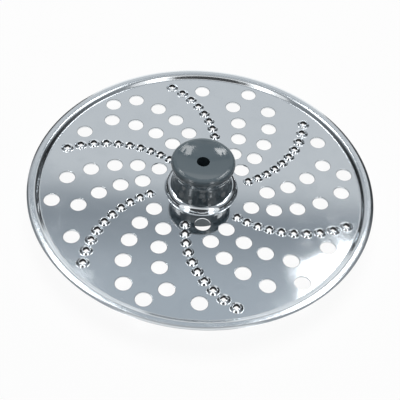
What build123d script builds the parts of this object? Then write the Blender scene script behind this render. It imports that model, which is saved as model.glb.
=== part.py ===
"""Grating disc of a food processor: a stamped steel sheet with a plastic hub moulded through its middle."""

import os
from math import asin, atan2, cos, degrees, radians, sin, sqrt, tan

from build123d import *

# Sizes are in millimetres and angles in degrees. Z is the spindle's axis, and the hub's foot stands on Z = 0.

# Sheet
disc_diameter = 170.0
sheet_thickness = 0.8
sheet_top = 13.3  # upper face of the flat sheet, above the foot

# Rim: a sloped step up to a flange whose edge is turned down
flange_width = 3.95
rim_rise = 2.1
rim_slope = 50.0
rim_foot_bend = 1.5
rim_crest_bend = 2.0
edge_width = 1.1
edge_slope = 25.0
edge_bend = 2.0

# Collar: the middle of the sheet, drawn up round the hub and turned in to a lip
collar_diameter = 35.2
collar_rise = 3.1
collar_draft = 5.0
collar_straight = 0.1
foot_bend = 0.6
lip_width = 3.9

# Swirl: each row lies on an arc that would pass through the axis if it went on
sector_count = 6
row_spacing = 20.0
first_row_angle = 2.4
swirl_radius = 53.1

# Round holes: two rows in each sector and two odd holes along the rim.
# Starts are measured from the collar's foot, and clearances and insets from the rim's foot, to hole centres.
hole_diameter = 7.8
hole_pitch = 10.6
hole_starts = ((5.65, 10.9), (9.15, 14.55))
row_clearances = (8.0, 13.0)
rim_hole_insets = (5.4, 8.9)
rim_hole_angle = 13.1

# Grating nubs: the first row in each sector, each nub a mound that a pyramid punch splits into four points
nub_starts = (5.8, 7.5, 5.8, 7.5, 7.5, 7.5)
nub_pitch = 5.3
nub_clearance = 4.5
nub_diameter = 6.0
nub_sides = 8
nub_slope = 47.0
nub_tip = 1.0
punch_width = 3.9
punch_taper = 15.0

# Hub, with heights measured from the sheet's upper face
skirt_clearance = 0.05
base_overhang = 0.38
foot_chamfer = 0.6
neck_height = 7.4
neck_bend = 4.0
base_taper = 15.0
waist_diameter = 27.2
waist_bend = 7.0
flare_angle = 35.0
flare_bend = 2.4
waist_share = 0.77  # part of the flare's length that the waist's bend may take
knob_diameter = 31.0
knob_height = 19.8
knob_side = 3.5
knob_edge_radius = 2.2
knob_land = 0.2
dish_depth = 1.75

# Spindle bore, the hollow round its boss and the slot for the drive pin
spindle_diameter = 6.0
spindle_clearance = 0.15
boss_wall = 3.25
hub_wall = 2.2
core_roof = 6.0
rib_count = 6
rib_thickness = 2.0
drive_slot_width = 3.6
drive_slot_depth = 5.0

# Levels and radii that follow
sheet_middle = sheet_top - sheet_thickness / 2
collar_turn = 90 - collar_draft
collar_wall = collar_rise / cos(radians(collar_draft))
collar_foot_radius = collar_diameter / 2 + foot_bend * tan(radians(collar_turn / 2))
shoulder_reach = collar_wall - collar_straight - foot_bend * tan(radians(collar_turn / 2))
shoulder_bend = shoulder_reach / tan(radians(collar_turn / 2))
shoulder_radius = collar_diameter / 2 - collar_rise * tan(radians(collar_draft))
lip_top = sheet_top + collar_rise
lip_middle = lip_top - sheet_thickness / 2
lip_bottom = lip_top - sheet_thickness
lip_bore_radius = shoulder_radius - lip_width
lip_flat_radius = shoulder_radius - shoulder_reach
rim_turn_reach = tan(radians(rim_slope / 2))
flange_radius = disc_diameter / 2 - flange_width
flange_middle = sheet_middle + rim_rise
rim_corner_radius = flange_radius - rim_rise / tan(radians(rim_slope))
rim_foot_radius = rim_corner_radius - rim_foot_bend * rim_turn_reach
step_length = rim_rise / sin(radians(rim_slope)) - (rim_foot_bend + rim_crest_bend) * rim_turn_reach
edge_reach = edge_bend * tan(radians(edge_slope / 2))
edge_length = edge_width / cos(radians(edge_slope)) - edge_reach
edge_radius = disc_diameter / 2 - sheet_thickness / 2 * sin(radians(edge_slope))
edge_corner_radius = edge_radius - edge_width - edge_reach
sector_angle = 360 / sector_count


def polar(radius, angle):
    return (radius * cos(radians(angle)), radius * sin(radians(angle)))


def fitted_bend(radius, turn, room):
    """Radius of a bend, limited by the straight length that it has room on."""
    return min(radius, room / tan(radians(turn / 2)))


def row_points(angle, start, pitch, clearance):
    """Points of one swirl row, from the collar out to the rim."""
    points = []
    radius = collar_foot_radius + start
    while radius <= rim_foot_radius - clearance:
        lean = degrees(asin(radius / (2 * swirl_radius)))
        points.append(polar(radius, angle + lean))
        radius += pitch
    return points


hole_points = []
nub_points = []
for sector in range(sector_count):
    start_angle = sector * sector_angle
    row_angle = start_angle + first_row_angle
    nub_points += row_points(row_angle, nub_starts[sector % len(nub_starts)], nub_pitch, nub_clearance)
    for start, clearance in zip(hole_starts[sector % len(hole_starts)], row_clearances):
        row_angle += row_spacing
        hole_points += row_points(row_angle, start, hole_pitch, clearance)
    for index, inset in enumerate(rim_hole_insets):
        hole_points.append(polar(rim_foot_radius - inset, start_angle + rim_hole_angle + index * row_spacing))

# One nub's mound, and the four-sided punch that splits it from below, its corners along X and Y
mound_foot = nub_diameter / 2 * cos(radians(180 / nub_sides))
mound_height = (mound_foot - nub_tip / 2) * tan(radians(nub_slope))
with BuildPart() as nub_mound:
    with BuildSketch(Plane.XY.offset(sheet_top)):
        RegularPolygon(nub_diameter / 2, nub_sides)
    extrude(amount=mound_height, taper=90 - nub_slope)

with BuildPart() as nub_punch:
    with BuildSketch(Plane.XY.offset(sheet_top - sheet_thickness)):
        Rectangle(punch_width, punch_width, rotation=45)
    extrude(amount=sheet_thickness + mound_height, taper=punch_taper)

# Disc: the sheet's middle line, bend by bend from the lip out to the turned-down edge,
# thickened and turned round the axis
with BuildPart() as grating_disc:
    with BuildSketch(Plane.XZ):
        with BuildLine():
            lip = Line((lip_bore_radius, lip_middle), (lip_flat_radius, lip_middle))
            shoulder = JernArc(lip @ 1, lip % 1, shoulder_bend, -collar_turn)
            wall = PolarLine(shoulder @ 1, collar_straight, direction=shoulder % 1)
            foot = JernArc(wall @ 1, wall % 1, foot_bend, collar_turn)
            web = Line(foot @ 1, (rim_foot_radius, sheet_middle))
            step_foot = JernArc(web @ 1, web % 1, rim_foot_bend, rim_slope)
            step = PolarLine(step_foot @ 1, step_length, direction=step_foot % 1)
            crest = JernArc(step @ 1, step % 1, rim_crest_bend, -rim_slope)
            flange = Line(crest @ 1, (edge_corner_radius, flange_middle))
            edge_turn = JernArc(flange @ 1, flange % 1, edge_bend, -edge_slope)
            PolarLine(edge_turn @ 1, edge_length, direction=edge_turn % 1)
        trace(line_width=sheet_thickness)
    revolve(axis=Axis.Z)

    with Locations(*nub_points):
        add(nub_mound.part)
    with Locations(*nub_points):
        add(nub_punch.part, mode=Mode.SUBTRACT)

    with BuildSketch(Plane.XY.offset(sheet_top)):
        with Locations(*hole_points):
            Circle(hole_diameter / 2)
    extrude(amount=-sheet_thickness, mode=Mode.SUBTRACT)

# Hub: one moulding, with a groove that the collar's lip fills
with BuildPart() as hub:
    bore_radius = spindle_diameter / 2 + spindle_clearance
    boss_radius = bore_radius + boss_wall
    skirt_radius = lip_flat_radius - skirt_clearance
    base_radius = lip_flat_radius + base_overhang
    neck_radius = base_radius - (neck_height - collar_rise) * tan(radians(base_taper))
    neck_level = sheet_top + neck_height
    waist_radius = waist_diameter / 2
    knob_radius = knob_diameter / 2
    knob_top = sheet_top + knob_height
    flare_top = knob_top - knob_side
    flare_bottom = flare_top - (knob_radius - waist_radius) / tan(radians(flare_angle))
    flare_length = (knob_radius - waist_radius) / sin(radians(flare_angle))
    waist_turn = flare_angle + degrees(atan2(neck_radius - waist_radius, flare_bottom - neck_level))
    waist_fit = fitted_bend(waist_bend, waist_turn, flare_length * waist_share)
    flare_fit = fitted_bend(flare_bend, flare_angle, flare_length * (1 - waist_share))
    dish_radius = knob_radius - knob_edge_radius - knob_land
    dish_curve = (dish_radius**2 + dish_depth**2) / (2 * dish_depth)
    dish_floor = knob_top - dish_depth
    dish_eye = (bore_radius, dish_floor + dish_curve - sqrt(dish_curve**2 - bore_radius**2))
    dish_edge = (dish_radius, knob_top)
    with BuildSketch(Plane.XZ):
        with BuildLine():
            Polyline(
                dish_eye,
                (bore_radius, 0),
                (skirt_radius - foot_chamfer, 0),
                (skirt_radius, foot_chamfer),
                (skirt_radius, lip_bottom),
                (lip_bore_radius, lip_bottom),
                (lip_bore_radius, lip_top),
                (base_radius, lip_top),
            )
            FilletPolyline(
                (base_radius, lip_top),
                (neck_radius, neck_level),
                (waist_radius, flare_bottom),
                (knob_radius, flare_top),
                (knob_radius, knob_top),
                dish_edge,
                radius=(neck_bend, waist_fit, flare_fit, knob_edge_radius),
            )
            RadiusArc(dish_edge, dish_eye, dish_curve)
        make_face()
    revolve(axis=Axis.Z)

    # Hollow from below, with ribs between the spindle's boss and the wall
    core_radius = min(waist_radius, lip_bore_radius) - hub_wall
    with BuildSketch():
        Circle(core_radius)
        Circle(boss_radius, mode=Mode.SUBTRACT)
        with PolarLocations(core_radius / 2, rib_count):
            Rectangle(core_radius, rib_thickness, mode=Mode.SUBTRACT)
    extrude(amount=dish_floor - core_roof, mode=Mode.SUBTRACT)

    # Slot across the boss for the drive pin
    with BuildSketch():
        Rectangle(2 * boss_radius, drive_slot_width)
    extrude(amount=drive_slot_depth, mode=Mode.SUBTRACT)

grating_disc.part.label = "grating_disc"
hub.part.label = "hub"

os.makedirs("parts", exist_ok=True)
export_step(grating_disc.part, "parts/grating_disc.step")
export_step(hub.part, "parts/hub.step")
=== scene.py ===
"""Looks of the food processor grating disc: a polished stamped sheet, a moulded hub and a pale studio."""

from math import asin, ceil, cos, degrees, hypot, pi, radians, sin, tan

import bpy
from bpy.props import FloatProperty, FloatVectorProperty, IntProperty, PointerProperty
from mathutils import Matrix, Vector
from mathutils.geometry import delaunay_2d_cdt


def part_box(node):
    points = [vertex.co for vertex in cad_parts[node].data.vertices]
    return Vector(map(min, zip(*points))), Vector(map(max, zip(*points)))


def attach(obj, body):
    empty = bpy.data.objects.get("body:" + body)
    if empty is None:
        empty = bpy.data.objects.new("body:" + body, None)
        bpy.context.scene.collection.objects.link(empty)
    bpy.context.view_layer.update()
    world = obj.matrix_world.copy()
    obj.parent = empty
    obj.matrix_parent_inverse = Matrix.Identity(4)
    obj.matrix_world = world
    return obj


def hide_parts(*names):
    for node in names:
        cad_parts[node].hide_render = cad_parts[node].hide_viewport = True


bl_info = {
    "name": "Grating disc",
    "version": (1, 0, 0),
    "blender": (4, 5, 0),
    "location": "3D View > Sidebar > Grating disc",
    "description": "Builds the looks of a food processor grating disc around its packed solids",
    "category": "Object",
}

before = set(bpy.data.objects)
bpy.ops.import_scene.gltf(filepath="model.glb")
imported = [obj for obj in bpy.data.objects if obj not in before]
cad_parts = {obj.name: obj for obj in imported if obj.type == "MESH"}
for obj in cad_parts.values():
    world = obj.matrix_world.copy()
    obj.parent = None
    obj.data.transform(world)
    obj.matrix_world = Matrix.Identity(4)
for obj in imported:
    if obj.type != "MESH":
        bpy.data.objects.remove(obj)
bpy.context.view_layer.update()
sheet_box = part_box("grating_disc")
MM = 0.001
WHITE = (1, 1, 1)


# ---------------------------------------------------------------- sizes and colours that a user would change


def length(label, text, value):
    """A length in metres, shown in the scene's own unit."""
    return FloatProperty(name=label, description=text, default=value, unit="LENGTH", precision=5)


def turn(label, text, value):
    """An angle, given in degrees."""
    return FloatProperty(name=label, description=text, default=radians(value), unit="ROTATION")


def tint(label, text, value):
    """A colour."""
    return FloatVectorProperty(
        name=label, description=text, default=value, size=3, subtype="COLOR", min=0, max=1
    )


def share(label, text, value):
    """A number from 0 to 1."""
    return FloatProperty(name=label, description=text, default=value, min=0, max=1, subtype="FACTOR")


def strength(label, text, value):
    """Brightness of a lamp: 1 is white."""
    return FloatProperty(name=label, description=text, default=value, min=0)


class SheetSizes(bpy.types.PropertyGroup):
    """Sizes of the stamped sheet."""

    diameter: length("Diameter", "Outer edge of the flange", sheet_box[1].x - sheet_box[0].x)
    top: length("Top face", "Upper face of the flat field above the hub's foot", 13.3 * MM)
    thickness: length("Thickness", "Thickness of the sheet", 0.8 * MM)
    flange: length("Flange", "Width of the flange from its bend line", 3.95 * MM)
    rim_rise: length("Rim rise", "Height of the flange above the flat field", 2.1 * MM)
    rim_slope: turn("Rim slope", "Slope of the step below the flange", 50)
    rim_foot_bend: length("Rim foot bend", "Bend radius at the rim's foot, at mid thickness", 1.5 * MM)
    rim_crest_bend: length("Rim crest bend", "Bend radius at the top of the step, at mid thickness", 2.0 * MM)
    edge_width: length("Edge width", "Width of the flange's turned-down edge", 1.1 * MM)
    edge_slope: turn("Edge slope", "Slope of the turned-down edge", 25)
    edge_bend: length("Edge bend", "Bend radius of the turned-down edge", 2.0 * MM)
    collar: length("Collar", "Diameter of the collar's bend line at the field", 35.2 * MM)
    collar_rise: length("Collar rise", "Height of the collar above the field", 3.1 * MM)
    collar_draft: turn("Collar draft", "Lean of the collar's wall", 5)
    collar_straight: length("Collar wall", "Straight part of the collar's wall", 0.1 * MM)
    foot_bend: length("Foot bend", "Bend radius at the collar's foot", 0.6 * MM)
    lip: length("Lip", "Width of the lip turned in at the collar's top", 3.9 * MM)


class PatternSizes(bpy.types.PropertyGroup):
    """Rows of round holes and pierced nubs."""

    sectors: IntProperty(name="Sectors", description="Times that the rows repeat", default=6, min=1)
    row_spacing: turn("Row spacing", "Angle from one row to the next in a sector", 20)
    first_row: turn("First row", "Angle at which the first row of nubs starts", 2.4)
    swirl: length("Swirl", "Radius of the arc that a row follows", 53.1 * MM)
    hole: length("Hole", "Diameter of a round hole", 7.8 * MM)
    hole_pitch: length("Hole pitch", "Step of the radius along a row of holes", 10.6 * MM)
    hole_roll: length("Edge roll", "Rounding that the punch leaves on a hole's upper edge", 0.14 * MM)
    hole_burr: length("Burr", "Height of the rough burr at a hole's lower edge", 0.1 * MM)
    nub: length("Nub", "Diameter of a nub at its foot", 6.6 * MM)
    nub_pitch: length("Nub pitch", "Step of the radius along a row of nubs", 5.3 * MM)
    nub_height: length("Nub height", "Height of a nub's lips above the sheet", 1.0 * MM)
    nub_notch: length("Nub notch", "How much lower the lips are at the mouth's corners", 0.2 * MM)
    nub_mouth: length("Nub mouth", "Width of the square mouth across its lips", 3.5 * MM)
    nub_lip: length("Nub lip", "Thickness of the torn lips", 0.3 * MM)
    throat: length("Throat", "Width of a nub's opening, level with the sheet's upper face", 2.2 * MM)
    punch: length("Punch", "Width of a nub's opening at the sheet's lower face", 2.6 * MM)


class Finishes(bpy.types.PropertyGroup):
    """Colours and gloss of the object."""

    steel: tint("Steel", "Polished sheet", (0.80, 0.84, 0.87))
    polish: share("Polish", "Roughness of the flat sheet", 0.045)
    worked: share("Worked", "Roughness of the pressed rim and nubs", 0.12)
    # Dark colour of the torn edges: partly dull torn metal, partly painted shade in the nub mouths and hole
    # rims
    torn: tint("Torn steel", "Torn and rough edges of the sheet", (0.07, 0.072, 0.075))
    plastic: tint("Plastic", "Hub moulding", (0.108, 0.142, 0.163))


class StageLooks(bpy.types.PropertyGroup):
    """Floor, cards, lamps and camera."""

    floor: tint("Floor", "Pale floor", (0.90, 0.90, 0.90))
    card_low: tint("Low card", "Lower part of the card behind the disc", (0.60, 0.62, 0.64))
    card_band: tint("Card band", "Darker band across the card", (0.27, 0.30, 0.33))
    card_high: tint("High card", "Upper part of the card", (0.42, 0.46, 0.50))
    ceiling: tint("Ceiling", "Ceiling above the camera and the disc", (0.42, 0.43, 0.44))
    wall: tint("Wall", "Walls beside the table, at its level", (0.02, 0.021, 0.022))
    wall_high: tint("High wall", "The same walls towards the ceiling", (0.30, 0.32, 0.34))
    far_right: tint("Far right wall", "Wall behind, right of the card", (0.05, 0.052, 0.055))
    far_left: tint("Far left wall", "Wall behind, left of the card", (0.42, 0.43, 0.45))
    flag: tint("Flag", "Dark oval flag in front of the disc", (0.055, 0.056, 0.058))
    softbox_right: strength("Right softbox", "Strength of the softbox behind on the right", 6.0)
    softbox_left: strength("Left softbox", "Strength of the softbox behind on the left", 9.0)
    fill: strength("Fill", "Strength of the plain light all round", 0.06)
    overhead: FloatProperty(
        name="Overhead", description="Power of the lamp above", default=10.5, min=0, unit="POWER"
    )
    lamps: strength("Lamps", "Strength of the lamps in front, behind and beside the camera", 0.85)
    strips: strength("Strip lamps", "Strength of the strip lamps in front", 4.0)
    side_lamps: strength("Side lamps", "Strength of the lamps beside the disc", 3.0)
    lens: FloatProperty(
        name="Lens", description="Focal length in millimetres", default=85.76, min=1, unit="CAMERA"
    )
    roll: turn("Roll", "Roll of the camera", 4.955)


# ---------------------------------------------------------------- shader nodes


def opaque(colour):
    """A colour with full alpha."""
    return (colour[0], colour[1], colour[2], 1.0)


class Wire:
    """A shader socket that takes part in arithmetic: each operator adds a Math node."""

    def __init__(self, graph, socket):
        self.graph = graph
        self.socket = socket

    def math(self, operation, first, second=0.0):
        """A Math node on sockets or numbers."""
        return self.graph.node("ShaderNodeMath", {"operation": operation}, {0: first, 1: second})

    def __add__(self, other):
        return self.math("ADD", self, other)

    def __radd__(self, other):
        return self.math("ADD", other, self)

    def __sub__(self, other):
        return self.math("SUBTRACT", self, other)

    def __rsub__(self, other):
        return self.math("SUBTRACT", other, self)

    def __mul__(self, other):
        return self.math("MULTIPLY", self, other)

    def __rmul__(self, other):
        return self.math("MULTIPLY", other, self)

    def __truediv__(self, other):
        return self.math("DIVIDE", self, other)

    def __rtruediv__(self, other):
        return self.math("DIVIDE", other, self)

    def __pow__(self, other):
        return self.math("POWER", self, other)

    def __rpow__(self, other):
        return self.math("POWER", other, self)

    def __abs__(self):
        return self.math("ABSOLUTE", self)

    def most(self, other):
        """The larger of two values."""
        return self.math("MAXIMUM", self, other)

    def eased(self, low, high):
        """0 below low, 1 above high and smooth between them."""
        return self.graph.node(
            "ShaderNodeMapRange",
            {"interpolation_type": "SMOOTHSTEP", "clamp": True},
            {"Value": self, "From Min": low, "From Max": high},
        )


class Graph:
    """A node tree under construction."""

    def __init__(self, owner):
        owner.use_nodes = True
        self.tree = owner.node_tree
        self.tree.nodes.clear()

    def node(self, kind, settings=None, inputs=None, output=0):
        """Adds a node of one type, sets it up, fills its sockets and gives back one of its outputs."""
        made = self.tree.nodes.new(kind)
        for name, value in (settings or {}).items():
            if name == "stops":
                self.set_stops(made.color_ramp, value)
            else:
                setattr(made, name, value)
        for name, value in (inputs or {}).items():
            if isinstance(value, Wire):
                self.tree.links.new(value.socket, made.inputs[name])
            else:
                made.inputs[name].default_value = value
        if not made.outputs:
            return None
        return Wire(self, made.outputs[output])

    def set_stops(self, ramp, stops):
        """Gives a ramp its colours, each at its place."""
        ramp.interpolation = "EASE"
        for index, (place, colour) in enumerate(stops):
            if index < len(ramp.elements):
                stop = ramp.elements[index]
                stop.position = place
            else:
                stop = ramp.elements.new(place)
            stop.color = opaque(colour)

    def blend(self, factor, first, second):
        """Mixes two colours: sockets 6 and 7 and output 2 are the node's colour ones."""
        return self.node(
            "ShaderNodeMix",
            {"data_type": "RGBA"},
            {"Factor": factor, 6: opaque(first), 7: opaque(second)},
            output=2,
        )

    def place(self):
        """The point in the object's own frame."""
        return self.node("ShaderNodeTexCoord", output="Object")

    def axes(self, vector):
        """The three parts of a vector."""
        split = self.node("ShaderNodeSeparateXYZ", None, {0: vector})
        outputs = split.socket.node.outputs
        return [Wire(self, outputs[index]) for index in range(3)]

    def noise(self, vector, scale, detail):
        """Soft noise from 0 to 1."""
        return self.node("ShaderNodeTexNoise", None, {"Vector": vector, "Scale": scale, "Detail": detail})

    def stretch(self, vector, scale):
        """A point whose three parts are scaled apart."""
        return self.node("ShaderNodeVectorMath", {"operation": "MULTIPLY"}, {0: vector, 1: scale})

    def relief(self, height, weight=1.0):
        """A normal that follows a height in metres."""
        return self.node("ShaderNodeBump", None, {"Strength": weight, "Distance": 1.0, "Height": height})

    def glow(self, colour, brightness=1.0):
        """Light that a card, a wall or a lamp gives off."""
        return self.node("ShaderNodeEmission", None, {"Color": colour, "Strength": brightness})

    def rays_that_see_white(self):
        """1 for rays from the camera and for those that metal or glass sends on."""
        path = self.node("ShaderNodeLightPath").socket.node.outputs
        seen = Wire(self, path["Is Camera Ray"])
        for name in ("Is Glossy Ray", "Is Transmission Ray"):
            seen = seen.most(Wire(self, path[name]))
        return seen

    def surface(self, shader):
        """Ends a material."""
        self.node("ShaderNodeOutputMaterial", None, {"Surface": shader})


def new_material(name):
    """A material and its empty node tree."""
    material = bpy.data.materials.new(name)
    return material, Graph(material)


# ---------------------------------------------------------------- finishes

# Bright steel; grain is noise per metre along X, Y and Z, so it streaks along the rolling direction
SMEARED_STEEL = (0.70, 0.745, 0.78)
SMEAR_RANGE = (0.42, 0.72)  # values of the noise between which a smear fades in
SMEAR_TINT, SMEAR_ROUGHNESS, GRAIN_ROUGHNESS = 0.25, 0.05, 0.02
ROLLING_GRAIN = (60.0, 1400.0, 300.0)
WAVE_HEIGHT = 0.03 * MM
GRAIN_HEIGHT = 0.00012 * MM

# Torn steel: dull metal, darkened further as painted shade
SHADED_TEAR = (0.03, 0.031, 0.032)
TEAR_GRAIN = (2200.0, 2200.0, 500.0)
TEAR_HEIGHT, TEAR_WEIGHT = 0.04 * MM, 0.5
TORN_ROUGHNESS, TEAR_ROUGHNESS = 0.28, 0.2

# Plastic
PLASTIC_IOR = 1.53
PLASTIC_ROUGHNESS, HAZE_ROUGHNESS = 0.06, 0.05
HAZY_PLASTIC = (0.124, 0.158, 0.178)
HAZE_RANGE = (0.40, 0.75)
HAZE_TINT = 0.35
PEEL_HEIGHT = 0.0025 * MM
KNOB_FLAT_RADIUS = 13.7 * MM
KNOB_FLAT_REACH = 0.9 * MM  # to each side of that radius
KNOB_FLAT_LEVELS = (31.5 * MM, 32.5 * MM)  # heights between which the flat fades in
KNOB_FLAT_DEPTH = 0.075 * MM


def bright_steel(name, colour, roughness):
    """Bright rolled sheet, faintly wavy from the press, with smears from handling."""
    material, graph = new_material(name)
    place = graph.place()
    waves = graph.noise(place, scale=42.0, detail=1.5)
    grain = graph.noise(graph.stretch(place, ROLLING_GRAIN), scale=1.0, detail=2.0)
    smears = graph.noise(place, scale=95.0, detail=3.0).eased(*SMEAR_RANGE)
    shader = graph.node(
        "ShaderNodeBsdfPrincipled",
        None,
        {
            "Base Color": graph.blend(smears * SMEAR_TINT, colour, SMEARED_STEEL),
            "Metallic": 1.0,
            "Roughness": roughness + smears * SMEAR_ROUGHNESS + grain * GRAIN_ROUGHNESS,
            "Normal": graph.relief(waves * WAVE_HEIGHT + grain * GRAIN_HEIGHT),
        },
    )
    graph.surface(shader)
    return material


def torn_steel(finish):
    """Sheared and torn edges: the same sheet, dull, and darkened as painted shade inside the nubs and round
    the holes.
    """
    material, graph = new_material("torn_steel")
    tears = graph.noise(graph.stretch(graph.place(), TEAR_GRAIN), scale=1.0, detail=3.0)
    shader = graph.node(
        "ShaderNodeBsdfPrincipled",
        None,
        {
            "Base Color": graph.blend(tears, finish.torn, SHADED_TEAR),
            "Metallic": 1.0,
            "Roughness": TORN_ROUGHNESS + tears * TEAR_ROUGHNESS,
            "Normal": graph.relief(tears * TEAR_HEIGHT, TEAR_WEIGHT),
        },
    )
    graph.surface(shader)
    return material


def moulded_plastic(finish):
    """Hard gloss plastic: a faint orange peel, some haze, and a narrow flat round the knob's edge."""
    material, graph = new_material("moulded_plastic")
    place = graph.place()
    peel = graph.noise(place, scale=420.0, detail=1.0)
    haze = graph.noise(place, scale=130.0, detail=3.0).eased(*HAZE_RANGE)
    east, north, up = graph.axes(place)
    reach = (east * east + north * north) ** 0.5
    ring = (1 - abs(reach - KNOB_FLAT_RADIUS) / KNOB_FLAT_REACH).eased(0, 1)
    flat = ring * up.eased(*KNOB_FLAT_LEVELS)
    shader = graph.node(
        "ShaderNodeBsdfPrincipled",
        None,
        {
            "Base Color": graph.blend(haze * HAZE_TINT, finish.plastic, HAZY_PLASTIC),
            "Roughness": PLASTIC_ROUGHNESS + haze * HAZE_ROUGHNESS,
            "IOR": PLASTIC_IOR,
            "Normal": graph.relief(peel * PEEL_HEIGHT - flat * KNOB_FLAT_DEPTH),
        },
    )
    graph.surface(shader)
    return material


# ---------------------------------------------------------------- sheet

# Finishes of the sheet's faces, in the order of its material slots; the torn finish is partly painted shade
POLISHED, WORKED, TORN_SHADED = 0, 1, 2
SHARP_ANGLE = radians(38)  # a sharper edge between two faces isn't shaded smooth

# Points round the axis, a hole and a nub
AXIS_COUNT, HOLE_COUNT, NUB_COUNT = 192, 40, 32
BEND_STEP = 7.0  # degrees from one ring to the next in a bend
SUPPORT_GAP = 0.1 * MM  # from a bend to the ring that keeps the straight part beside it flat
FIELD_MARGIN = 0.15 * MM  # between the flat field and the first bend of the collar and the rim
SKIRT = 0.06 * MM  # flat ring round each hole and nub
NUB_ROOM = 1.2 * SKIRT  # least room from a nub's foot to the middle between two nubs

# Rounding of the outer edge: millimetres along the sheet, and shares of half its thickness
EDGE_ROUNDING = ((-0.12, 1.0), (-0.03, 0.91), (0.0, 0.7), (0.0, -0.7), (-0.03, -0.91), (-0.12, -1.0))

# Rows, in millimetres to the centres of holes and nubs: starts are measured from the collar's foot, and
# clearances and insets from the rim's foot
HOLE_STARTS = ((5.65, 10.9), (9.15, 14.55))
HOLE_CLEARANCES = (8.0, 13.0)
RIM_HOLES = ((5.4, 13.1), (8.9, 33.1))  # inset and angle in degrees of the two odd holes of a sector
NUB_STARTS = (5.8, 7.5, 5.8, 7.5, 7.5, 7.5)
NUB_CLEARANCE = 4.5

# A hole's rolled upper edge: degrees round the roll, and the finish of the face below each ring
# The torn rings of the roll give each hole a dark outline that is painted shade
HOLE_ROLL = ((90, POLISHED), (60, TORN_SHADED), (30, TORN_SHADED), (0, TORN_SHADED))
DOME_LEANS = (12, 24, 31, 35, 37, 38, 38, 37, 34, 29)  # slope of a nub's side in equal steps, foot to lip
TORN_WALL = (0, 0.5, 1)  # rings of a nub's torn wall, as shares from the throat to the lip
SQUARE_SHARPNESS = 4  # of the corners of a nub's square opening

TRIANGLES = 0  # kind of faces that the fill of the flat field gives back
FILL_TOLERANCE = 1e-9


def bent_line(corners, radii):
    """Rounds the corners of a line in the (radius, height) plane: (radius, height, lean) along it.

    Lean is the angle of the line's direction, so the sheet's upper side faces lean + 90 degrees.
    """
    line = []
    start = Vector(corners[0])
    for corner, after, radius in zip(corners[1:], corners[2:], radii):
        corner, after = Vector(corner), Vector(after)
        first = (corner - start).normalized()
        second = (after - corner).normalized()
        lean = -Vector((1, 0)).angle_signed(first)
        bend = -first.angle_signed(second)
        reach = radius * tan(abs(bend) / 2)
        begin = corner - first * reach
        side = Vector((-first.y, first.x)) * (1 if bend > 0 else -1)
        count = max(2, ceil(degrees(abs(bend)) / BEND_STEP))
        if not line:
            line.append((*corners[0], lean))
        for part in range(count + 1):
            angle = abs(bend) * part / count
            point = begin + first * (radius * sin(angle)) + side * (radius * (1 - cos(angle)))
            line.append((point.x, point.y, lean + bend * part / count))
        start = corner + second * reach
        end_lean = lean + bend
    line.append((*corners[-1], end_lean))
    return line


def with_support(line):
    """Adds a point close to each end of a long straight part, so that its shading stays flat."""
    full = [line[0]]
    for before, after in zip(line, line[1:]):
        span = hypot(after[0] - before[0], after[1] - before[1])
        straight = abs(after[2] - before[2]) < 1e-6
        if straight and span > 4 * SUPPORT_GAP:
            for part in (SUPPORT_GAP / span, 1 - SUPPORT_GAP / span):
                full.append(tuple(a + (b - a) * part for a, b in zip(before, after)))
        full.append(after)
    return full


class SheetMesh:
    """Collects points and faces of the sheet, in metres."""

    def __init__(self):
        self.points = []
        self.faces = []
        self.slots = []

    def shaped_ring(self, centre, count, shape):
        """A ring of points, where shape gives the reach and height at an angle."""
        made = []
        for index in range(count):
            angle = 2 * pi * index / count
            reach, height = shape(angle)
            made.append(len(self.points))
            self.points.append((centre[0] + reach * cos(angle), centre[1] + reach * sin(angle), height))
        return made

    def ring(self, centre, radius, height, count):
        """A round ring of points."""
        return self.shaped_ring(centre, count, lambda angle: (radius, height))

    def turned(self, line, offset):
        """Rings round the axis along a line, moved off it to one side."""
        return [
            self.ring((0, 0), radius - offset * sin(lean), height + offset * cos(lean), AXIS_COUNT)
            for radius, height, lean in line
        ]

    def skin(self, rings, slots):
        """Joins each ring to the next with quads."""
        for first, second, slot in zip(rings, rings[1:], slots):
            count = len(first)
            for index in range(count):
                after = (index + 1) % count
                self.faces.append((first[index], second[index], second[after], first[after]))
                self.slots.append(slot)

    def to_object(self, name, materials):
        """The finished mesh, in the scene."""
        mesh = bpy.data.meshes.new(name)
        mesh.from_pydata(self.points, [], self.faces)
        for material in materials:
            mesh.materials.append(material)
        mesh.polygons.foreach_set("material_index", self.slots)
        mesh.polygons.foreach_set("use_smooth", [True] * len(self.faces))
        mesh.set_sharp_from_angle(angle=SHARP_ANGLE)
        mesh.validate()
        mesh.update()
        made = bpy.data.objects.new(name, mesh)
        bpy.context.scene.collection.objects.link(made)
        return made


def swirl_row(angle, start, pitch, last, swirl):
    """Points of one row, on an arc that would pass through the axis if it went on."""
    points = []
    radius = start
    while radius <= last:
        lean = angle + asin(radius / (2 * swirl))
        points.append((radius * cos(lean), radius * sin(lean)))
        radius += pitch
    return points


def pattern_points(pattern, inner, outer):
    """Centres of the round holes and of the nubs, between the collar's foot and the rim's foot."""
    holes, nubs = [], []
    for sector in range(pattern.sectors):
        base = 2 * pi * sector / pattern.sectors
        angle = base + pattern.first_row
        start = inner + NUB_STARTS[sector % len(NUB_STARTS)] * MM
        nubs += swirl_row(angle, start, pattern.nub_pitch, outer - NUB_CLEARANCE * MM, pattern.swirl)
        for start, clearance in zip(HOLE_STARTS[sector % len(HOLE_STARTS)], HOLE_CLEARANCES):
            angle += pattern.row_spacing
            first, last = inner + start * MM, outer - clearance * MM
            holes += swirl_row(angle, first, pattern.hole_pitch, last, pattern.swirl)
        for inset, place in RIM_HOLES:
            radius, angle = outer - inset * MM, base + radians(place)
            holes.append((radius * cos(angle), radius * sin(angle)))
    return holes, nubs


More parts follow.
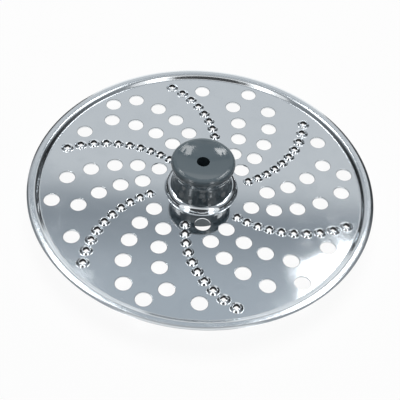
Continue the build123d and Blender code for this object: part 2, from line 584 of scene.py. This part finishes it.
def add_hole(sheet, centre, ring_radius, pattern, sizes):
    """One round hole: rolled upper edge, darkened as painted shade, smooth wall, burr below. Returns its
    rings below and above.
    """
    top, bottom = sizes.top, sizes.top - sizes.thickness
    radius, roll = pattern.hole / 2, pattern.hole_roll

    def ring(reach, height):
        return sheet.ring(centre, reach, height, HOLE_COUNT)

    rings = [ring(ring_radius, bottom), ring(radius, bottom), ring(radius, bottom + pattern.hole_burr)]
    slots = [POLISHED, TORN_SHADED]
    for part, slot in HOLE_ROLL:
        angle = radians(part)
        rings.append(ring(radius + roll * (1 - sin(angle)), top - roll * (1 - cos(angle))))
        slots.append(slot)
    rings.append(ring(ring_radius, top))
    slots.append(POLISHED)
    sheet.skin(rings, slots)
    return rings[0], rings[-1]


def dome_line():
    """Side of a nub from its foot to its lip, as shares of its run and rise."""
    line = [(0.0, 0.0)]
    for lean in DOME_LEANS:
        line.append((line[-1][0] + cos(radians(lean)), line[-1][1] + sin(radians(lean))))
    full_run, full_rise = line[-1]
    return [(run / full_run, rise / full_rise) for run, rise in line]


def square_reach(angle):
    """Reach of a square with soft corners along X and Y: 1 at the middle of a side, more at a corner."""
    swing = angle - pi / 4
    power = SQUARE_SHARPNESS
    return (abs(cos(swing)) ** power + abs(sin(swing)) ** power) ** (-1 / power)


def add_nub(sheet, centre, ring_radius, foot, pattern, sizes):
    """One nub: a dome that a four-sided punch has burst open, its torn wall darkened as painted shade.
    Returns its rings below and above.
    """
    top, bottom = sizes.top, sizes.top - sizes.thickness
    corner = square_reach(0) - 1

    def lip(angle):
        """Reach and height of the lip's outer edge."""
        square = square_reach(angle)
        height = top + pattern.nub_height - pattern.nub_notch * (square - 1) / corner
        return pattern.nub_mouth / 2 * square, height

    def dome(run, rise):
        """A ring on the dome."""
        def shape(angle):
            reach, height = lip(angle)
            return foot + (reach - foot) * run, top + (height - top) * rise
        return sheet.shaped_ring(centre, NUB_COUNT, shape)

    def wall(part):
        """A ring on the torn wall that flares from the throat to the lip."""
        def shape(angle):
            reach, height = lip(angle)
            low = pattern.throat / 2 * square_reach(angle)
            return low + (reach - pattern.nub_lip - low) * part, top + (height - top) * part
        return sheet.shaped_ring(centre, NUB_COUNT, shape)

    def opening(angle):
        """Edge of the opening at the sheet's lower face."""
        return pattern.punch / 2 * square_reach(angle), bottom

    below = sheet.ring(centre, ring_radius, bottom, NUB_COUNT)
    above = sheet.ring(centre, ring_radius, top, NUB_COUNT)
    inside = [sheet.shaped_ring(centre, NUB_COUNT, opening)] + [wall(part) for part in TORN_WALL]
    outside = [dome(run, rise) for run, rise in reversed(dome_line())]
    # The torn wall inside the mouth takes the torn finish, whose dark colour is painted shade
    slots = [POLISHED] + [TORN_SHADED] * (len(inside) - 1) + [WORKED] * (len(outside) + 1)
    sheet.skin([below] + inside + outside + [above], slots)
    return below, above


def fill_field(sheet, outline, openings):
    """Closes the flat field between its outer ring and the openings, above and below."""
    flat, edges, owners = [], [], []
    for below, above in [outline] + [rings for _, _, rings in openings]:
        first, count = len(flat), len(above)
        flat += [Vector(sheet.points[index][:2]) for index in above]
        owners += list(zip(below, above))
        edges += [(first + index, first + (index + 1) % count) for index in range(count)]
    points, _, faces, sources, _, _ = delaunay_2d_cdt(flat, edges, [], TRIANGLES, FILL_TOLERANCE)
    for face in faces:
        middle = sum((points[index] for index in face), Vector((0, 0))) / len(face)
        if any((middle - centre).length < reach for centre, reach, _ in openings):
            continue
        pairs = [owners[sources[index][0]] for index in face]
        sheet.faces.append(tuple(pair[1] for pair in pairs))
        sheet.faces.append(tuple(pair[0] for pair in reversed(pairs)))
        sheet.slots += [POLISHED, POLISHED]


def ring_reach(radius, count):
    """Reach that tells triangles inside a ring from those outside it.

    It lies halfway between the ring's inscribed circle and the middle of the outermost triangle inside it.
    """
    return radius * (cos(pi / count) + (1 + 2 * cos(2 * pi / count)) / 3) / 2


def sheet_lines(sizes):
    """Middle lines of the collar and of the rim, and the radii of the collar's foot and the rim's foot."""
    half = sizes.thickness / 2
    middle = sizes.top - half

    collar_turn = pi / 2 - sizes.collar_draft
    foot_reach = sizes.foot_bend * tan(collar_turn / 2)
    shoulder_reach = sizes.collar_rise / cos(sizes.collar_draft) - sizes.collar_straight - foot_reach
    shoulder_bend = shoulder_reach / tan(collar_turn / 2)
    shoulder = sizes.collar / 2 - sizes.collar_rise * tan(sizes.collar_draft)
    inner = sizes.collar / 2 + foot_reach
    collar = bent_line(
        [
            (shoulder - sizes.lip, middle + sizes.collar_rise),
            (shoulder, middle + sizes.collar_rise),
            (sizes.collar / 2, middle),
            (inner + FIELD_MARGIN, middle),
        ],
        (shoulder_bend, sizes.foot_bend),
    )

    flange = sizes.diameter / 2 - sizes.flange
    rim_corner = flange - sizes.rim_rise / tan(sizes.rim_slope)
    outer = rim_corner - sizes.rim_foot_bend * tan(sizes.rim_slope / 2)
    edge = sizes.diameter / 2 - half * sin(sizes.edge_slope)
    edge_drop = sizes.edge_width * tan(sizes.edge_slope)
    rim = bent_line(
        [
            (outer - FIELD_MARGIN, middle),
            (rim_corner, middle),
            (flange, middle + sizes.rim_rise),
            (edge - sizes.edge_width, middle + sizes.rim_rise),
            (edge, middle + sizes.rim_rise - edge_drop),
        ],
        (sizes.rim_foot_bend, sizes.rim_crest_bend, sizes.edge_bend),
    )
    return with_support(collar), with_support(rim), inner, outer


def build_sheet(sizes, pattern):
    """The stamped sheet as one closed skin."""
    sheet = SheetMesh()
    half = sizes.thickness / 2
    collar, rim, inner, outer = sheet_lines(sizes)

    collar_rings = sheet.turned(reversed(collar), -half) + sheet.turned(collar, half)
    sheet.skin(collar_rings, [POLISHED] * (len(collar_rings) - 1))

    radius, height, lean = rim[-1]
    across, along = Vector((-sin(lean), cos(lean))), Vector((cos(lean), sin(lean)))
    edge_rings = []
    for out, up in EDGE_ROUNDING:
        point = Vector((radius, height)) + along * (out * MM) + across * (up * half)
        edge_rings.append(sheet.ring((0, 0), point.x, point.y, AXIS_COUNT))
    rim_rings = sheet.turned(rim[:-1], half) + edge_rings + sheet.turned(reversed(rim[:-1]), -half)
    sheet.skin(rim_rings, [WORKED] * (len(rim_rings) - 1))

    holes, nubs = pattern_points(pattern, inner, outer)
    collar_reach = ring_reach(inner + FIELD_MARGIN, AXIS_COUNT)
    openings = [(Vector((0, 0)), collar_reach, (collar_rings[0], collar_rings[-1]))]
    hole_ring = pattern.hole / 2 + pattern.hole_roll + SKIRT
    for spot in holes:
        rings = add_hole(sheet, spot, hole_ring, pattern, sizes)
        openings.append((Vector(spot), ring_reach(hole_ring, HOLE_COUNT), rings))
    for spot in nubs:
        nearest = min(hypot(spot[0] - x, spot[1] - y) for x, y in nubs if (x, y) != spot)
        foot = min(pattern.nub / 2, nearest / 2 - NUB_ROOM)
        rings = add_nub(sheet, spot, foot + SKIRT, foot, pattern, sizes)
        openings.append((Vector(spot), ring_reach(foot + SKIRT, NUB_COUNT), rings))
    fill_field(sheet, (rim_rings[-1], rim_rings[0]), openings)
    return sheet


class DISC_OT_sheet(bpy.types.Operator):
    """Build the polished sheet with its holes and pierced nubs"""

    bl_idname = "grating_disc.sheet"
    bl_label = "Sheet"

    def execute(self, context):
        scene = context.scene
        sheet = build_sheet(scene.sheet_sizes, scene.pattern_sizes)
        finish = scene.finishes
        polished = bright_steel("polished_steel", finish.steel, finish.polish)
        worked = bright_steel("worked_steel", finish.steel, finish.worked)
        made = sheet.to_object("polished_sheet", (polished, worked, torn_steel(finish)))
        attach(made, "root")
        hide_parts("grating_disc")
        return {"FINISHED"}


class DISC_OT_hub(bpy.types.Operator):
    """Finish the hub as gloss plastic"""

    bl_idname = "grating_disc.hub"
    bl_label = "Hub"

    def execute(self, context):
        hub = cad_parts["hub"]
        hub.data.materials.clear()
        hub.data.materials.append(moulded_plastic(context.scene.finishes))
        return {"FINISHED"}


# ---------------------------------------------------------------- stage, in metres and degrees

FLOOR_RADIUS, FLOOR_CORNERS = 1.6, 96
FLOOR_GLOW = 0.93  # part of the floor's look that is plain white; the rest is cloth, which keeps the shadow

# Card behind the disc, 1 m away: its size, the places of its colours and the heights that they spread over
CARD_ELEVATION = 48
CARD_LIFT = 0.03
CARD_WIDTH, CARD_HEIGHT = 0.84, 0.8
CARD_STOPS = ((0.0, "card_low"), (0.44, "card_low"), (0.54, "card_band"), (0.68, "card_high"))
CARD_SPAN = (-0.05, 1.05)
WALL_PALER = (0.3, 0.9)  # heights between which a wall turns paler

# Outlines of the softboxes, which hang over the far side: metres to the right and up, seen from the disc
SOFTBOX_DISTANCE = 0.94
SOFTBOX_RIGHT = (
    (0.160, 0.108),
    (0.238, 0.066),
    (0.232, 0.205),
    (0.252, 0.200),
    (0.270, 0.098),
    (0.288, 0.103),
    (0.280, 0.240),
    (0.230, 0.290),
    (0.125, 0.310),
    (0.158, 0.230),
)
SOFTBOX_LEFT = (
    (-0.200, 0.142),
    (-0.172, 0.205),
    (-0.135, 0.300),
    (-0.225, 0.288),
    (-0.275, 0.235),
    (-0.278, 0.135),
    (-0.258, 0.128),
    (-0.247, 0.200),
    (-0.230, 0.205),
    (-0.228, 0.134),
)

# Dark flag in front of the disc: an oval, 1 m away
FLAG_ELEVATION = 29
FLAG_HALF_WIDTH, FLAG_HALF_HEIGHT = 0.50, 0.56
FLAG_CORNERS = 48

# Screens on rings round the disc: name, cloth, first and last angle from +Y towards +X, lowest and highest
# elevation, distance
SCREENS = (
    ("ceiling", "ceiling", 0, 360, 72, 90, 1.0),
    ("wall_right", "wall", 52, 124, 0, 72, 1.3),
    ("wall_left", "wall", 236, 308, 0, 72, 1.3),
    ("wall_far_right", "far_right", 22, 52, 0, 45, 1.3),
    ("wall_low_left", "wall", 308, 338, 0, 17, 1.3),
    ("wall_far_left", "far_left", 308, 338, 17, 45, 1.3),
    ("lamp_right", "lamps", 124, 153, 10, 72, 1.1),
    ("lamp_left", "lamps", 207, 236, 10, 72, 1.1),
    ("lamp_front", "lamps", 153, 207, 10, 72, 1.3),
    ("strip_right", "strips", 143, 153, 6, 26, 1.05),
    ("strip_left", "strips", 207, 217, 6, 26, 1.05),
    ("strip_mid_right", "strips", 137, 145, 26, 41, 1.05),
    ("strip_mid_left", "strips", 215, 223, 26, 41, 1.05),
    ("strip_high_right", "strips", 134, 145, 41, 57, 1.05),
    ("strip_high_left", "strips", 215, 226, 41, 57, 1.05),
    ("side_lamp_right", "side_lamps", 57, 86, 51, 68, 1.1),
    ("side_lamp_left", "side_lamps", 274, 303, 51, 68, 1.1),
)
SCREEN_STEP = 4  # degrees from one column of a screen to the next
SCREEN_LEVELS = 4  # faces from a screen's foot to its top

OVERHEAD_SIZE = 0.7
OVERHEAD_PLACE = (0, 0.25, 1.1)
OVERHEAD_TILT = -13

CAMERA_PLACE = Vector((0, -0.31538, 0.36216))
CAMERA_TARGET = Vector((-0.000009, -0.008562, 0.0133))
SENSOR_WIDTH = 36.0  # millimetres
CLIP_START, CLIP_END = 0.01, 20.0


def card_material(looks):
    """Grey card whose brightness changes with height, as a lit backdrop's does."""
    material, graph = new_material("card_grey")
    up = graph.axes(graph.place())[1]
    stops = [(place, getattr(looks, name)) for place, name in CARD_STOPS]
    level = (up + 0.5).eased(*CARD_SPAN)
    graph.surface(graph.glow(graph.node("ShaderNodeValToRGB", {"stops": stops}, {"Fac": level})))
    return material


def wall_material(looks):
    """Wall that is dark at the table's level and paler towards the ceiling."""
    material, graph = new_material("wall")
    height = graph.axes(graph.place())[2]
    graph.surface(graph.glow(graph.blend(height.eased(*WALL_PALER), looks.wall, looks.wall_high)))
    return material


def plain_light(name, colour, brightness=1.0):
    """Cloth or board of one even brightness."""
    material, graph = new_material(name)
    graph.surface(graph.glow(opaque(colour), brightness))
    return material


def stage_mesh(name, points, faces, material, seen_by_camera=False):
    """A mesh of the stage, in place. What the camera doesn't see shows in reflections only."""
    mesh = bpy.data.meshes.new(name)
    mesh.from_pydata(points, [], faces)
    mesh.materials.append(material)
    made = bpy.data.objects.new(name, mesh)
    bpy.context.scene.collection.objects.link(made)
    made.visible_camera = seen_by_camera
    made.visible_diffuse = seen_by_camera
    made.visible_shadow = seen_by_camera
    return made


def card(name, middle, facing, width, height, material):
    """A flat rectangular card."""
    x, y = width / 2, height / 2
    made = stage_mesh(name, [(-x, -y, 0), (x, -y, 0), (x, y, 0), (-x, y, 0)], [(0, 1, 2, 3)], material)
    turned = facing.to_track_quat("Z", "Y").to_matrix()
    made.matrix_world = Matrix.Translation(middle) @ turned.to_4x4()


def board(name, corners, material):
    """A flat board with the outline that its corners give."""
    stage_mesh(name, corners, [tuple(range(len(corners)))], material)


def screen(name, first, last, low, high, distance, material):
    """A curved screen on part of a ring round the disc."""
    points, faces = [], []
    steps = max(2, ceil((last - first) / SCREEN_STEP))
    column = SCREEN_LEVELS + 1
    for step in range(steps + 1):
        angle = radians(first + (last - first) * step / steps)
        for level in range(column):
            rise = radians(low + (high - low) * level / SCREEN_LEVELS)
            reach = distance * cos(rise)
            points.append((reach * sin(angle), reach * cos(angle), distance * sin(rise)))
    for step in range(steps):
        for level in range(SCREEN_LEVELS):
            at = step * column + level
            faces.append((at, at + column, at + column + 1, at + 1))
    stage_mesh(name, points, faces, material)


class DISC_OT_stage(bpy.types.Operator):
    """Set the floor, the cards and lamps round it, and the camera"""

    bl_idname = "grating_disc.stage"
    bl_label = "Stage"

    def execute(self, context):
        scene = context.scene
        looks = scene.stage_looks
        self.add_floor(looks)
        self.add_cards(looks)
        self.add_screens(looks)
        self.add_overhead(scene, looks)
        self.add_world(scene, looks)
        self.add_camera(scene, looks)
        scene.view_settings.view_transform = "Standard"
        return {"FINISHED"}

    def add_floor(self, looks):
        """A round pale floor."""
        material, graph = new_material("pale_floor")
        seen = graph.rays_that_see_white()
        cloth = graph.node("ShaderNodeBsdfDiffuse", None, {"Color": opaque(looks.floor), "Roughness": 0.0})
        glow = graph.glow(opaque(WHITE))
        graph.surface(graph.node("ShaderNodeMixShader", None, {0: seen * FLOOR_GLOW, 1: cloth, 2: glow}))
        angles = [2 * pi * index / FLOOR_CORNERS for index in range(FLOOR_CORNERS)]
        points = [(FLOOR_RADIUS * cos(angle), FLOOR_RADIUS * sin(angle), 0.0) for angle in angles]
        stage_mesh("floor", points, [tuple(range(FLOOR_CORNERS))], material, seen_by_camera=True)

    def add_cards(self, looks):
        """The card and the softboxes behind the disc, and the flag in front of it."""
        slope = radians(CARD_ELEVATION)
        back = Vector((0, cos(slope), sin(slope)))
        rise = Vector((0, -sin(slope), cos(slope)))
        side = Vector((1, 0, 0))
        card("card_back", back + rise * CARD_LIFT, -back, CARD_WIDTH, CARD_HEIGHT, card_material(looks))
        for name, brightness, outline in (
            ("softbox_right", looks.softbox_right, SOFTBOX_RIGHT),
            ("softbox_left", looks.softbox_left, SOFTBOX_LEFT),
        ):
            corners = [back * SOFTBOX_DISTANCE + side * across + rise * up for across, up in outline]
            board(name, corners, plain_light(name, WHITE, brightness))

        slope = radians(FLAG_ELEVATION)
        front = Vector((0, -cos(slope), sin(slope)))
        wide, tall = side * FLAG_HALF_WIDTH, Vector((0, sin(slope), cos(slope))) * FLAG_HALF_HEIGHT
        angles = [2 * pi * index / FLAG_CORNERS for index in range(FLAG_CORNERS)]
        oval = [front + wide * cos(angle) + tall * sin(angle) for angle in angles]
        board("flag_front", oval, plain_light("flag_dark", looks.flag))

    def add_screens(self, looks):
        """Ceiling, walls and lamps round the disc."""
        cloths = {
            "ceiling": plain_light("ceiling_grey", looks.ceiling),
            "wall": wall_material(looks),
            "far_right": plain_light("wall_far_dark", looks.far_right),
            "far_left": plain_light("wall_far_pale", looks.far_left),
            "lamps": plain_light("lamp_cloth", WHITE, looks.lamps),
            "strips": plain_light("strip_lamp_cloth", WHITE, looks.strips),
            "side_lamps": plain_light("side_lamp_cloth", WHITE, looks.side_lamps),
        }
        for name, cloth, first, last, low, high, distance in SCREENS:
            screen(name, first, last, low, high, distance, cloths[cloth])

    def add_overhead(self, scene, looks):
        """One soft lamp above, which lights the object and doesn't show in it."""
        light = bpy.data.lights.new("overhead", "AREA")
        light.size = OVERHEAD_SIZE
        light.energy = looks.overhead
        lamp = bpy.data.objects.new("overhead", light)
        lamp.location = OVERHEAD_PLACE
        lamp.rotation_euler = (radians(OVERHEAD_TILT), 0, 0)
        lamp.visible_glossy = False
        scene.collection.objects.link(lamp)

    def add_world(self, scene, looks):
        """A white background with a little light of its own."""
        world = bpy.data.worlds.new("studio")
        scene.world = world
        graph = Graph(world)
        fill = graph.node("ShaderNodeBackground", None, {"Color": opaque(WHITE), "Strength": looks.fill})
        white = graph.node("ShaderNodeBackground", None, {"Color": opaque(WHITE), "Strength": 1.0})
        sky = graph.node("ShaderNodeMixShader", None, {0: graph.rays_that_see_white(), 1: fill, 2: white})
        graph.node("ShaderNodeOutputWorld", None, {"Surface": sky})

    def add_camera(self, scene, looks):
        """The camera, at the place and angle from which the disc was photographed."""
        lens = bpy.data.cameras.new("camera")
        lens.lens = looks.lens
        lens.sensor_width = SENSOR_WIDTH
        lens.clip_start = CLIP_START
        lens.clip_end = CLIP_END
        camera = bpy.data.objects.new("camera", lens)
        scene.collection.objects.link(camera)
        facing = (CAMERA_TARGET - CAMERA_PLACE).to_track_quat("-Z", "Y").to_matrix()
        rolled = facing @ Matrix.Rotation(looks.roll, 3, "Z")
        camera.matrix_world = Matrix.Translation(CAMERA_PLACE) @ rolled.to_4x4()
        scene.camera = camera


# ---------------------------------------------------------------- panel and registration


class DISC_PT_panel(bpy.types.Panel):
    """Lists the parts of the grating disc"""

    bl_label = "Grating disc"
    bl_idname = "DISC_PT_panel"
    bl_space_type = "VIEW_3D"
    bl_region_type = "UI"
    bl_category = "Grating disc"

    def draw(self, context):
        for operator in OPERATORS:
            self.layout.operator(operator.bl_idname)
        for group in GROUPS:
            box = self.layout.box()
            settings = getattr(context.scene, group)
            for name in settings.bl_rna.properties.keys():
                if name not in ("rna_type", "name"):
                    box.prop(settings, name)


OPERATORS = (DISC_OT_sheet, DISC_OT_hub, DISC_OT_stage)
GROUPS = {
    "sheet_sizes": SheetSizes,
    "pattern_sizes": PatternSizes,
    "finishes": Finishes,
    "stage_looks": StageLooks,
}
CLASSES = tuple(GROUPS.values()) + OPERATORS + (DISC_PT_panel,)


def register():
    for item in CLASSES:
        bpy.utils.register_class(item)
    for name, group in GROUPS.items():
        setattr(bpy.types.Scene, name, PointerProperty(type=group))


def unregister():
    for name in GROUPS:
        delattr(bpy.types.Scene, name)
    for item in reversed(CLASSES):
        bpy.utils.unregister_class(item)


def main():
    register()
    bpy.ops.grating_disc.sheet()
    bpy.ops.grating_disc.hub()
    bpy.ops.grating_disc.stage()


if __name__ == "__main__":
    main()
